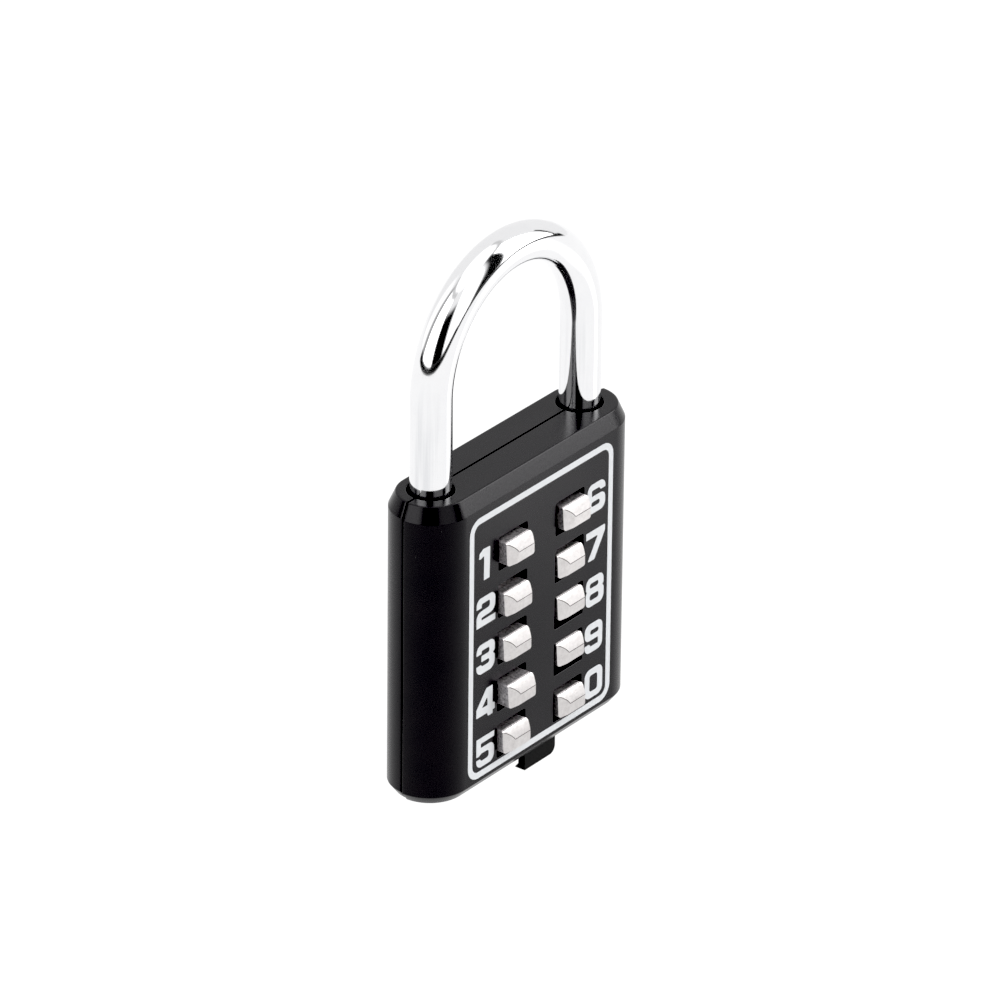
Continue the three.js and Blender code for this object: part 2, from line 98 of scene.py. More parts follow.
CLEARANCE = 0.3
REAR_END_SHIFT = 0.2  # the rear shell's round ends sit a little further out
PARTING_LINE = 0.28  # what shows of the gap between the shells
PARTING_EDGE = 0.2  # rounding of the shells' meeting edges
TOP_CHAMFER = {"inset": 1.03, "height": 2.3}
BOTTOM_CHAMFER = {"inset": 1.05, "height": 1.4}
CHAMFER_EDGE = 0.22
FRONT_WALL = 1.4
CAVITY = {"half_width": 11.4, "low": 1.5, "high": 45.2, "rear_y": 4.45, "ledge": 0.6}
BORE_RADIUS = 3.35
BORE_LIP = 0.25
HEEL_BORE_BOTTOM = 6.0
TOE_BORE_BOTTOM = 38.3
LATCH_TUNNEL = {"y": (-0.9, 2.1), "z": (39.1, 45.2)}
RIVETS = ("case_rivet_1", "case_rivet_2", "case_rivet_3")
RIVET = {"boss": 1.7, "hole": 1.15, "hole_front_y": -4.7, "shank": 0.95, "tip": 0.2}
RIVET_HEAD = {"thickness": 0.8, "dome": 0.22, "spread": 0.02}
RIVET_POCKET = {"depth": 1.1, "lip": 0.15}

COLUMN_X = 6.5
TOP_ROW_Z = 35.95
ROW_PITCH = 7.5
WINDOW = {"width": 6.4, "height": 5.2, "corner": 0.25, "lip": 0.12}
HEAD = {"width": 5.7, "height": 3.7, "crown": 0.55, "ridge": -0.25, "hip": 2.25, "root": 0.3, "edge": 0.09}
HEAD_CORNER = {"lower_left": 0.5, "lower_right": 0.35, "upper_right": 0.8, "upper_left": 0.2}
CROWN = {"slope": 0.18, "bend": 0.06, "turn": 0.3, "steepest": 86}
HIP_SLOPE = {"across": 0.2, "up": -0.06}
FLANGE = {"width": 7.6, "height": 4.6, "front_y": -4.8, "rear_y": -4.0}
SHANK = {"width": 5.0, "height": 2.0, "rear_y": 0.9}
STEM_EDGE = 0.08
GATE_NOTCH = {"length": 1.5, "depth": 0.6}
GATE_Y = -1.3  # the middle of the gate plate, and of the notches of the buttons outside the code
CREASE_RADIUS = 0.065
PRESS = 2.0
CODE = (1, 4, 6, 9)  # these buttons' notches lie one press further forward

TAB_EDGE = 0.15
TAB_CORNER = {"left": 0.3, "right": 1.2}
TAB_LIP = {"neck_y": -3.8, "rear_y": -3.1, "height": 0.9}
TAB_SOCKET = {"x": (-0.8, 2.6), "y": (-4.25, -3.05), "low": 0.5}

FINE_WIRE = 0.15
SHACKLE_WIRE = 0.35
WIRE_SIDES = 8

TOE_Z = 38.9
BAR_END = [(0, 0.8), (0.56, 0.25), (1.12, 0)]  # (distance from the end, how much thinner the bar is)
HEEL_GROOVE = {"low": 15.3, "high": 27.2, "depth": 1.6}
TOE_NOTCH = {"depth": 1.5, "low": 39.9, "high": 45.0, "slope": 2}

PRINT_PROUD = 0.02
PRINT_SUNK = 0.05
MERGED = 0.0001  # points of the print closer than this become one
FRAME_LINE = {"half_width": 16.34, "low": 2.0, "high": 43.56, "line": 1.0, "corner": 2.3}


# ---- Mesh building ----

def to_frame(point):
    return DATUM + Vector(point) * MM


def new_piece(name, mesh):
    piece = bpy.data.objects.new(name, mesh)
    bpy.context.scene.collection.objects.link(piece)
    return piece


def write_mesh(work, mesh):
    """Turns a bmesh's faces outward and writes it into a mesh."""
    bmesh.ops.recalc_face_normals(work, faces=work.faces)
    work.to_mesh(mesh)
    work.free()


def loft(name, rings):
    """A closed piece through rings of points, each with the same count, and capped at both ends."""
    work = bmesh.new()
    rows = [[work.verts.new(to_frame(point)) for point in ring] for ring in rings]
    count = len(rows[0])
    for lower, upper in zip(rows, rows[1:]):
        for i in range(count):
            j = (i + 1) % count
            work.faces.new((lower[i], lower[j], upper[j], upper[i]))
    work.faces.new(reversed(rows[0]))
    work.faces.new(rows[-1])
    mesh = bpy.data.meshes.new(name)
    write_mesh(work, mesh)
    return new_piece(name, mesh)


def around(middle, size):
    """Both ends of a length, from its middle."""
    return middle - size / 2, middle + size / 2


def block(name, x_span, y_span, z_span):
    corners = [(x_span[i], y_span[j]) for i, j in ((0, 0), (1, 0), (1, 1), (0, 1))]
    return loft(name, [[(x, y, z) for x, y in corners] for z in z_span])


def circle(radius, count):
    angles = [2 * math.pi * i / count for i in range(count)]
    return [(radius * math.cos(angle), radius * math.sin(angle)) for angle in angles]


def turned_z(name, centre, profile, count=64):
    """A round piece about a vertical line, from (radius, z) pairs."""
    x, y = centre
    return loft(name, [[(x + a, y + b, z) for a, b in circle(radius, count)] for radius, z in profile])


def turned_y(name, centre, profile, count=48):
    """A round piece about a line from front to back, from (radius, y) pairs."""
    x, z = centre
    return loft(name, [[(x + a, y, z + b) for a, b in circle(radius, count)] for radius, y in profile])


def arc(centre, radius, start, end, steps):
    """Points on an arc, with its angles in degrees."""
    angles = [math.radians(start + (end - start) * i / steps) for i in range(steps + 1)]
    return [(centre[0] + radius * math.cos(a), centre[1] + radius * math.sin(a)) for a in angles]


def rounded(corners, steps=6, closed=True):
    """An outline through corners of (a, b) or (a, b, radius), with an arc at each that has a radius."""
    points = []
    count = len(corners)
    for i, corner in enumerate(corners):
        here = Vector(corner[:2])
        radius = corner[2] if len(corner) > 2 else 0
        is_end = not closed and i in (0, count - 1)
        if radius == 0 or is_end:
            points.append(tuple(here))
            continue
        back = (Vector(corners[i - 1][:2]) - here).normalized()
        ahead = (Vector(corners[(i + 1) % count][:2]) - here).normalized()
        half = back.angle(ahead) / 2
        centre = here + (back + ahead).normalized() * radius / math.sin(half)
        start = here + back * radius / math.tan(half) - centre
        turn = start.angle_signed(here + ahead * radius / math.tan(half) - centre)
        for k in range(steps + 1):
            angle = -turn * k / steps
            spoke = Vector((
                start.x * math.cos(angle) - start.y * math.sin(angle),
                start.x * math.sin(angle) + start.y * math.cos(angle),
            ))
            points.append(tuple(centre + spoke))
    return points


def rectangle(x_span, z_span, corner):
    """The four corners of a rectangle, each with its radius."""
    return [
        (x_span[0], z_span[0], corner),
        (x_span[1], z_span[0], corner),
        (x_span[1], z_span[1], corner),
        (x_span[0], z_span[1], corner),
    ]


def apply_modifiers(piece):
    """Puts the result of a piece's modifiers into its mesh."""
    graph = bpy.context.evaluated_depsgraph_get()
    mesh = bpy.data.meshes.new_from_object(piece.evaluated_get(graph))
    piece.modifiers.clear()
    piece.data = mesh


def combine(piece, others, operation):
    """Cuts the other pieces from this one, or adds them, and removes them."""
    for other in others:
        modifier = piece.modifiers.new("combine", "BOOLEAN")
        modifier.operation = operation
        modifier.solver = "MANIFOLD"
        modifier.object = other
    apply_modifiers(piece)
    for other in others:
        bpy.data.objects.remove(other)
    return piece


def cut(piece, *cutters):
    return combine(piece, cutters, "DIFFERENCE")


def add(piece, *parts):
    return combine(piece, parts, "UNION")


def soften(piece, width, angle=30, segments=2):
    """Rounds the edges that are sharper than an angle."""
    modifier = piece.modifiers.new("soften", "BEVEL")
    modifier.width = width * MM
    modifier.segments = segments
    modifier.limit_method = "ANGLE"
    modifier.angle_limit = math.radians(angle)
    modifier.miter_outer = "MITER_ARC"
    apply_modifiers(piece)
    return piece


def fit_slots(piece, count):
    """Gives a piece at least so many material slots. Its faces keep the ones they have."""
    while len(piece.data.materials) < count:
        piece.data.materials.append(None)


def dress(piece, finishes, body, replaced=(), sharp=32):
    """Gives a piece its shading, finishes and place in the assembly."""
    piece.data.shade_smooth()
    piece.data.set_sharp_from_angle(angle=math.radians(sharp))
    normals = piece.modifiers.new("normals", "WEIGHTED_NORMAL")
    normals.keep_sharp = True
    fit_slots(piece, len(finishes))
    for index, finish in enumerate(finishes):
        piece.data.materials[index] = finish
    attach(piece, body)
    if replaced:
        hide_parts(*replaced)
    return piece


def tube(name, path, radii, sides):
    """A round bar along a path, with a radius at each point of it."""
    points = [Vector(p) for p in path]
    last = len(points) - 1
    across = None
    rings = []
    for i, point in enumerate(points):
        along = (points[min(i + 1, last)] - points[max(i - 1, 0)]).normalized()
        if across is None:
            across = along.orthogonal().normalized()
        across = (across - along * across.dot(along)).normalized()
        other = along.cross(across)
        rings.append([tuple(point + across * a + other * b) for a, b in circle(radii[i], sides)])
    return loft(name, rings)


# ---- Case ----

def shell_profile():
    """(inset, z) up the side of the case, with its chamfers and their softened edges."""
    return rounded([
        (BOTTOM_CHAMFER["inset"] + 2 * CHAMFER_EDGE, 0),
        (BOTTOM_CHAMFER["inset"], 0, CHAMFER_EDGE),
        (0, BOTTOM_CHAMFER["height"], CHAMFER_EDGE),
        (0, CASE_TOP - TOP_CHAMFER["height"], CHAMFER_EDGE),
        (TOP_CHAMFER["inset"], CASE_TOP, CHAMFER_EDGE),
        (TOP_CHAMFER["inset"] + 2 * CHAMFER_EDGE, CASE_TOP),
    ], steps=3, closed=False)


def shell_blank(name, side, span, radius, outer_y, parting_y):
    """One half of the case block. Side is -1 for the front shell and 1 for the rear one.

    Its ends are round, with that radius, about centres that lie a span from the middle.
    """
    centre_y = outer_y - side * radius
    rings = []
    for inset, z in shell_profile():
        reach = radius - inset
        edge_y = parting_y + side * PARTING_EDGE
        first = math.degrees(math.asin((edge_y - centre_y) * side / reach))
        edge_x = reach * math.cos(math.radians(first)) - PARTING_EDGE
        outline = arc((edge_x, -PARTING_EDGE), PARTING_EDGE, 90, 0, 3)
        half = [(span + a, parting_y - side * b) for a, b in outline]
        half += [(span + a, centre_y + side * b) for a, b in arc((0, 0), reach, first, 90, 30)[1:]]
        rings.append([(x, y, z) for x, y in half] + [(-x, y, z) for x, y in reversed(half)])
    return loft(name, rings)


def bore(name, x, bottom):
    """A cutter for a shackle hole, whose mouth is a little wider."""
    lip = arc((BORE_RADIUS + BORE_LIP, CASE_TOP - BORE_LIP), BORE_LIP, 180, 90, 4)
    profile = [(BORE_RADIUS, bottom), *lip, (BORE_RADIUS + BORE_LIP, CASE_TOP + PAST)]
    return turned_z(name, (x, 0), profile)


def shell_hollows():
    """Cutters that both shells share: the bores, the latch tunnel and the stop pin's pocket."""
    pin = "heel_stop_pin"
    pin_low, pin_high = node_box(pin)
    pocket = half_width(pin) + CLEARANCE
    pocket_profile = [(pocket, pin_low.y - CLEARANCE), (pocket, pin_high.y + CLEARANCE)]
    return [
        bore("heel_bore", -HALF_PITCH, HEEL_BORE_BOTTOM),
        bore("toe_bore", HALF_PITCH, TOE_BORE_BOTTOM),
        block("tunnel", (CAVITY["half_width"] - PAST, HALF_PITCH), LATCH_TUNNEL["y"], LATCH_TUNNEL["z"]),
        turned_y("pin_pocket", front_centre(pin), pocket_profile),
    ]


def cavity(y_span, margin=0):
    """A cutter for the space inside, which leaves the rivet bosses standing."""
    half = CAVITY["half_width"] - margin
    space = block("cavity", (-half, half), y_span, (CAVITY["low"], CAVITY["high"]))
    through = 9
    boss = [(RIVET["boss"], -through), (RIVET["boss"], through)]
    bosses = [turned_y("boss", front_centre(node), boss) for node in RIVETS]
    return cut(space, *bosses)


def window_places():
    """The middles of the ten windows, as (x, z)."""
    return [(column * COLUMN_X, TOP_ROW_Z - row * ROW_PITCH) for column in (-1, 1) for row in range(5)]


def window_cutter(x, z):
    """A window's cutter, with a mouth that rounds out onto the front face."""
    lip = WINDOW["lip"]
    profile = [(lip, FRONT_Y - PAST)]
    profile += [(lip + a, FRONT_Y + lip + b) for a, b in arc((0, 0), lip, -90, -180, 3)]
    profile.append((0, FRONT_Y + FRONT_WALL + PAST))
    rings = []
    for spread, y in profile:
        across = around(x, WINDOW["width"] + 2 * spread)
        upright = around(z, WINDOW["height"] + 2 * spread)
        corners = rectangle(across, upright, WINDOW["corner"] + spread)
        rings.append([(a, y, b) for a, b in rounded(corners, steps=4)])
    return loft("window", rings)


def front_shell(material):
    shell = shell_blank("front_shell", -1, HALF_PITCH, CASE_HIGH.x - HALF_PITCH, FRONT_Y, CASE_HIGH.y)
    tab_slot = block(
        "tab_slot",
        (TAB_LOW.x - CLEARANCE, TAB_HIGH.x + CLEARANCE),
        (FRONT_Y + FRONT_WALL, TAB_HIGH.y + CLEARANCE),
        (-PAST, CAVITY["low"] + PAST),
    )
    hole = [(RIVET["hole"], RIVET["hole_front_y"]), (RIVET["hole"], PAST)]
    rivet_holes = [turned_y("hole", front_centre(node), hole) for node in RIVETS]
    cut(shell, cavity((FRONT_Y + FRONT_WALL, PAST)), tab_slot, *shell_hollows(), *rivet_holes)
    cut(shell, *[window_cutter(x, z) for x, z in window_places()])
    return dress(shell, [material], "case", ["front_case"])


def rear_shell(material):
    span = HALF_PITCH + REAR_END_SHIFT
    shell = shell_blank("rear_shell", 1, span, REAR_HIGH.x - span, REAR_Y, CASE_HIGH.y + PARTING_LINE)
    ledge_y = node_box("stem_guide_plate")[1].y + CLEARANCE / 2
    cut(shell, cavity((-PAST, ledge_y)), cavity((-PAST, CAVITY["rear_y"]), CAVITY["ledge"]), *shell_hollows())
    hole = [(RIVET["hole"], -PAST), (RIVET["hole"], REAR_Y + PAST)]
    lip = RIVET_POCKET["lip"]
    for node in RIVETS:
        radius = half_width(node) + CLEARANCE / 2
        mouth = arc((radius + lip, REAR_Y - lip), lip, 180, 90, 3)
        pocket = [(radius, REAR_Y - RIVET_POCKET["depth"]), *mouth, (radius + lip, REAR_Y + PAST)]
        cut(shell, turned_y("hole", front_centre(node), hole), turned_y("pocket", front_centre(node), pocket))
    return dress(shell, [material], "case", ["rear_case"])


def rivet(node, material):
    """A flush rivet whose head is slightly domed and rounded at its rim."""
    low, high = node_box(node)
    shank = RIVET["shank"]
    tip = RIVET["tip"]
    radius = half_width(node)
    under_head = high.y - RIVET_HEAD["thickness"]
    dome = RIVET_HEAD["dome"]
    profile = [(shank - tip, low.y), (shank, low.y + tip), (shank, under_head), (radius, under_head)]
    for across, up in arc((0, 0), 1, 0, 90, 8):
        profile.append((radius * across + RIVET_HEAD["spread"], high.y - dome + dome * up))
    piece = turned_y(node.removeprefix("case_"), front_centre(node), profile)
    return dress(piece, [material], "case", [node])


# ---- Shackle ----

def shackle_path():
    """Points up the heel leg, round the arch and down the toe leg, with the bar's radius at each."""
    heel = [((-HALF_PITCH, 0, BAR_LOW.z + up), BAR_RADIUS - thinner) for up, thinner in BAR_END]
    arch = [((x, 0, z), BAR_RADIUS) for x, z in arc((0, ARCH_Z), HALF_PITCH, 180, 0, 72)]
    toe = [((HALF_PITCH, 0, TOE_Z + up), BAR_RADIUS - thinner) for up, thinner in reversed(BAR_END)]
    return heel + arch + toe


def shackle(material):
    path = shackle_path()
    bar = tube("shackle_bar", [place for place, _ in path], [radius for _, radius in path], 64)
    through = 5
    groove_x = BAR_RADIUS - HALF_PITCH - HEEL_GROOVE["depth"]
    groove_z = (HEEL_GROOVE["low"], HEEL_GROOVE["high"])
    groove = block("groove", (groove_x, groove_x + through), (-through, through), groove_z)
    inner_x = HALF_PITCH - BAR_RADIUS
    deep_x = inner_x + TOE_NOTCH["depth"]
    notch_outline = [
        (inner_x - PAST, TOE_NOTCH["low"] - PAST * TOE_NOTCH["slope"]),
        (deep_x, TOE_NOTCH["low"] + TOE_NOTCH["depth"] * TOE_NOTCH["slope"]),
        (deep_x, TOE_NOTCH["high"]),
        (inner_x - PAST, TOE_NOTCH["high"]),
    ]
    notch = loft("notch", [[(x, y, z) for x, z in notch_outline] for y in (-through, through)])
    return dress(cut(bar, groove, notch), [material], "shackle", ["shackle"])


# ---- Buttons ----

def crown_profile():
    """(drop, height) of the curved upper face, from the level ridge to where it turns into the head's top."""
    reach = HEAD["height"] / 2 - HEAD["ridge"] - CROWN["turn"]
    steps = 9
    profile = []
    for k in range(steps + 1):
        up = reach * k / steps
        profile.append((CROWN["slope"] * up + CROWN["bend"] * up ** 2, HEAD["ridge"] + up))
    drop, height = profile[-1]
    lean = math.atan(CROWN["slope"] + 2 * CROWN["bend"] * reach)
    centre = (drop + CROWN["turn"] * math.cos(lean), height - CROWN["turn"] * math.sin(lean))
    turn = arc(centre, CROWN["turn"], 180 - math.degrees(lean), 180 - CROWN["steepest"], 6)
    return profile + turn[1:]


def button_cap(name, x, z, face_y):
    """A head with a flat lower face, a curved upper face above a ridge, and a hip falling to the left."""
    left, right = around(x, HEAD["width"])
    bottom, top = around(z, HEAD["height"])
    outline = rounded([
        (left, bottom, HEAD_CORNER["lower_left"]),
        (right, bottom, HEAD_CORNER["lower_right"]),
        (right, top, HEAD_CORNER["upper_right"]),
        (left, top, HEAD_CORNER["upper_left"]),
    ])
    cap = loft(name, [[(a, y, b) for a, b in outline] for y in (FLANGE["front_y"] + HEAD["root"], face_y)])
    curve = [(face_y + drop, z + height) for drop, height in crown_profile()]
    curve += [(curve[-1][0], top + PAST), (face_y - PAST, top + PAST), (face_y - PAST, curve[0][1])]
    upper = loft("upper", [[(a, y, b) for y, b in curve] for a in (left - PAST, right + PAST)])

    def hip_y(a, b):
        across = a - left - HEAD["hip"]
        up = b - z - HEAD["ridge"]
        return face_y - HIP_SLOPE["across"] * across - HIP_SLOPE["up"] * up

    corners = rectangle((left - PAST, left + HEAD["hip"] + 2 * PAST), (bottom - PAST, top + PAST), 0)
    before_face = [(a, face_y - 3 * PAST, b) for a, b, _ in corners]
    on_hip = [(a, hip_y(a, b), b) for a, b, _ in corners]
    return cut(cap, upper, loft("hip", [before_face, on_hip]))


def crease(x, z, face_y):
    """A rod along the edges of a cap's upper face. It cuts a fine groove that takes the second material, a
    dark finish that paints shade into the crease.
    """
    left, right = around(x, HEAD["width"])
    overrun = 0.3
    path = [(right + overrun, face_y, z + HEAD["ridge"])]
    for drop, height in crown_profile():
        up = height - HEAD["ridge"]
        back = (drop + HIP_SLOPE["up"] * up) / HIP_SLOPE["across"]
        place = left + HEAD["hip"] - back
        if place > left - overrun and drop < HEAD["crown"]:
            path.append((place, face_y + drop, z + height))
    rod = tube("crease", path, [CREASE_RADIUS] * len(path), 4)
    fit_slots(rod, 2)
    for face in rod.data.polygons:
        face.material_index = 1
    return rod


def button_stem(digit, x, z):
    """The flange that stops behind the window, and the notched shank behind it."""
    flange_y = (FLANGE["front_y"], FLANGE["rear_y"])
    shank_y = (sum(flange_y) / 2, SHANK["rear_y"])
    flange = block("flange", around(x, FLANGE["width"]), flange_y, around(z, FLANGE["height"]))
    shank = block("shank", around(x, SHANK["width"]), shank_y, around(z, SHANK["height"]))
    notch = block(
        "notch",
        around(x, 2 * SHANK["width"]),
        around(GATE_Y - (PRESS if digit in CODE else 0), GATE_NOTCH["length"]),
        (z + SHANK["height"] / 2 - GATE_NOTCH["depth"], z + SHANK["height"]),
    )
    return soften(add(cut(shank, notch), flange), STEM_EDGE)


def button(digit, face_finish, crease_shade_finish):
    node = f"button_{digit}"
    face_y = node_box(node)[0].y
    x, z = front_centre(node)
    cap = soften(button_cap(f"button_cap_{digit}", x, z, face_y), HEAD["edge"], angle=46, segments=3)
    fit_slots(cap, 2)
    # The groove's dark second finish is painted shade along the ridge and hip.
    cut(cap, crease(x, z, face_y))
    add(cap, button_stem(digit, x, z))
    return dress(cap, [face_finish, crease_shade_finish], node, [node], sharp=24)


# ---- Pull tab ----

def pull_tab(material):
    """A grip with a lip behind its lower edge for a fingernail. Inside the case it is thicker."""
    outline = rounded([
        (TAB_LOW.x, TAB_HIGH.z),
        (TAB_LOW.x, TAB_LOW.z, TAB_CORNER["left"]),
        (TAB_HIGH.x, TAB_LOW.z, TAB_CORNER["right"]),
        (TAB_HIGH.x, TAB_HIGH.z),
    ], steps=10)
    grip = loft("pull_tab", [[(x, y, z) for x, z in outline] for y in (TAB_LOW.y, TAB_HIGH.y)])
    behind = TAB_HIGH.y + PAST
    below = TAB_LOW.z - PAST
    hollow_outline = [
        (TAB_LIP["rear_y"], below),
        (TAB_LIP["rear_y"], TAB_LOW.z),
        (TAB_LIP["neck_y"], TAB_LOW.z + TAB_LIP["height"]),
        (TAB_LIP["neck_y"], CLEARANCE),
        (behind, CLEARANCE),
        (behind, below),
    ]
    across = (TAB_LOW.x - PAST, TAB_HIGH.x + PAST)
    hollow = loft("hollow", [[(x, y, z) for y, z in hollow_outline] for x in across])
    soften(cut(grip, hollow), TAB_EDGE, angle=40, segments=4)
    cut(grip, block("socket", TAB_SOCKET["x"], TAB_SOCKET["y"], (TAB_SOCKET["low"], TAB_HIGH.z + PAST)))
    return dress(grip, [material], "gate_slider", ["release_tab"])


# ---- Springs ----

def coil(name, low, high, axis, turns, wire, narrows=1.0, steps_per_turn=20):
    """A coil spring between two corners, along one axis. Its radius narrows to a share at the far end."""
    along = "xyz".index(axis)
    first, second = [k for k in range(3) if k != along]
    centre = (low + high) / 2
    radius = (high[first] - low[first]) / 2 - wire
    start = low[along] + wire
    length = high[along] - low[along] - 2 * wire
    steps = turns * steps_per_turn
    path = []
    for i in range(steps + 1):
        share = i / steps
        reach = radius * (1 + (narrows - 1) * share)
        angle = 2 * math.pi * turns * share
        point = [0, 0, 0]
        point[first] = centre[first] + reach * math.cos(angle)
        point[second] = centre[second] + reach * math.sin(angle)
        point[along] = start + length * share
        path.append(point)
    return tube(name, path, [wire] * len(path), WIRE_SIDES)


def fitted_spring(node, axis, material, **shape):
    """A coil spring in the space of its CAD node."""
    low, high = node_box(node)
    return dress(coil(f"{node}_coil", low, high, axis, **shape), [material], "case", [node])


def springs(material):
    """Every spring. All but the one under the shackle get a mesh of their own."""
    for digit in range(10):
        node = f"button_spring_{digit}"
        spring = fitted_spring(node, "y", material, turns=3, wire=FINE_WIRE)
        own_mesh(spring)
    spring = fitted_spring("gate_spring", "z", material, turns=6, wire=FINE_WIRE)
    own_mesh(spring)
    conical = {"turns": 2, "wire": FINE_WIRE, "narrows": 0.25, "steps_per_turn": 32}
    spring = fitted_spring("latch_spring", "x", material, **conical)
    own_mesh(spring)
    fitted_spring("shackle_spring", "z", material, turns=3, wire=SHACKLE_WIRE, steps_per_turn=32)


# ---- Print ----

SIX = [
    (4.11, 3.22, .09), (4.11, 4.67, 1.17), (0, 4.67, 1.11), (0, 0, 1.11), (4.11, 0, 1.11), (4.11, 2.7, 1.06),
    (1.0, 2.7, .09), (1.0, 3.67, .17), (2.67, 3.67, .17), (3.06, 3.22, .11),
]
SIX_HOLE = rectangle((.89, 2.83), (1.08, 1.83), .36)


def turned_over(outline, width, height):
    """An outline turned half a turn within its width and height."""
    return [(width - x, height - z, *rest) for x, z, *rest in outline]


# Each numeral: its lower left corner on the front face, its outline and its holes. Points are (x, z, radius).
NUMERALS = {
    0: ((10.47, 3.56), rectangle((0, 4.14), (0, 4.72), 1.17), [rectangle((1.14, 2.96), (1.02, 3.67), .44)]),
    1: ((-14.67, 33.3), [
        (1.56, 0), (2.83, 0), (2.94, 4.92, .2), (1.33, 5.03, .3), (.56, 4.53), (.44, 3.76), (.72, 3.61, .1),
        (1.58, 3.87, .1),
    ], []),
    2: ((-14.67, 26.09), [
        (0, 3.02), (0, 4.6, .95), (4.2, 4.6, 1.05), (4.2, 1.6, 1.15), (1.1, 1.45, .2), (1.15, 1.02),
        (4.24, 1.02), (4.24, 0), (0, 0), (0, 2.45, 1.05), (3.0, 2.6, .45), (3.0, 3.63, .28),
        (1.13, 3.63, .28), (1.13, 3.02),
    ], []),
    3: ((-14.61, 18.53), [
        (0, 3.22, .06), (0, 4.71, 1.05), (4.14, 4.71, 1.05), (4.14, 2.86), (3.74, 2.44), (4.14, 2.02),
        (4.14, 0, 1.17), (0, 0, 1.17), (0, 1.49, .09), (1.0, 1.49, .11), (1.33, 1.19, .11), (2.92, 1.19, .39),
        (2.92, 1.91, .39), (1.11, 1.91, .13), (1.11, 2.86, .13), (2.92, 2.86, .33), (2.92, 3.71, .33),
        (1.22, 3.71, .22), (1.11, 3.22, .06),
    ], []),
    4: ((-14.53, 11.17), [
        (2.25, 4.61, .2), (3.67, 4.61, .11), (3.67, 1.78, .1), (4.15, 1.6, .17), (4.18, .61, .05),
        (3.7, .58, .05), (3.7, 0, .09), (2.64, 0, .1), (2.44, .56, .11), (0, .56, .11), (0, 1.89, .17),
    ], [[(2.31, 3.0, .05), (2.51, 2.89, .05), (2.56, 1.78, .15), (1.26, 1.78, .05)]]),
    5: ((-14.44, 3.53), [
        (0, 4.71, .06), (4.02, 4.71, .09), (4.02, 3.8, .07), (1.0, 3.78, .13), (1.0, 3.1, .11),
        (4.02, 3.1, 1.06), (4.02, 0, 1.11), (0, 0, 1.11), (0, 1.38, .09), (.78, 1.38, .11), (1.17, .98, .17),
        (2.83, .98, .5), (2.83, 2.16, .44), (1.11, 2.16, .17), (.61, 1.89, .11), (0, 1.89, .09),
    ], []),
    6: ((10.5, 33.44), SIX, [SIX_HOLE]),
    7: ((10.33, 25.94), [
        (0, 4.72, .06), (4.36, 4.72, .2), (4.36, 3.77, .33), (1.94, 0, .13), (.36, 0, .17), (2.72, 3.6, .13),
        (0, 3.6, .06),
    ], []),
    8: ((10.42, 18.52), [
        (.04, 4.64, 1.06), (4.11, 4.64, 1.06), (4.11, 2.92), (3.86, 2.59), (4.16, 2.2), (4.16, 0, 1.06),
        (0, 0, 1.06), (0, 2.2), (.24, 2.59), (.04, 2.92),
    ], [rectangle((.93, 2.91), (2.92, 3.7), .35), rectangle((.93, 2.97), (.98, 1.92), .4)]),
    9: ((10.33, 11.02), turned_over(SIX, 4.11, 4.67), [turned_over(SIX_HOLE, 4.11, 4.67)]),
}


def ink(name, outlines, material):
    """A thin layer of ink on the front face. Outlines inside others are holes."""
    curve = bpy.data.curves.new(name, "CURVE")
    curve.dimensions = "2D"
    curve.fill_mode = "BOTH"
    curve.extrude = (PRINT_PROUD + PRINT_SUNK) / 2 * MM
    for outline in outlines:
        spline = curve.splines.new("POLY")
        points = rounded(outline)
        spline.points.add(len(points) - 1)
        for point, (x, z) in zip(spline.points, points):
            point.co = (x * MM, z * MM, 0, 1)
        spline.use_cyclic_u = True
    drawn = new_piece(name + "_drawn", curve)
    graph = bpy.context.evaluated_depsgraph_get()
    mesh = bpy.data.meshes.new_from_object(drawn.evaluated_get(graph))
    bpy.data.objects.remove(drawn)
    middle_y = FRONT_Y + (PRINT_SUNK - PRINT_PROUD) / 2
    for vertex in mesh.vertices:
        x, z, depth = vertex.co
        vertex.co = DATUM + Vector((x, middle_y * MM - depth, z))
    work = bmesh.new()
    work.from_mesh(mesh)
    bmesh.ops.remove_doubles(work, verts=work.verts, dist=MERGED * MM)
    write_mesh(work, mesh)
    return dress(new_piece(name, mesh), [material], "case")


def prints(material):
    """The ten numerals and the line that frames the buttons."""
    for digit, ((left, bottom), outline, holes) in NUMERALS.items():
        moved = [[(x + left, z + bottom, *rest) for x, z, *rest in loop] for loop in (outline, *holes)]
        ink(f"numeral_{digit}", moved, material)
    half = FRAME_LINE["half_width"]
    line = FRAME_LINE["line"]
    corner = FRAME_LINE["corner"]
    outer = rectangle((-half, half), (FRAME_LINE["low"], FRAME_LINE["high"]), corner)
    inner = rectangle(
        (line - half, half - line),
        (FRAME_LINE["low"] + line, FRAME_LINE["high"] - line),
        corner - line,
    )
    ink("frame_line", [outer, inner], material)


# ---- Materials ----

MIX_COLOURS = (6, 7)  # the Mix node's colour sockets
MIX_RESULT = 2


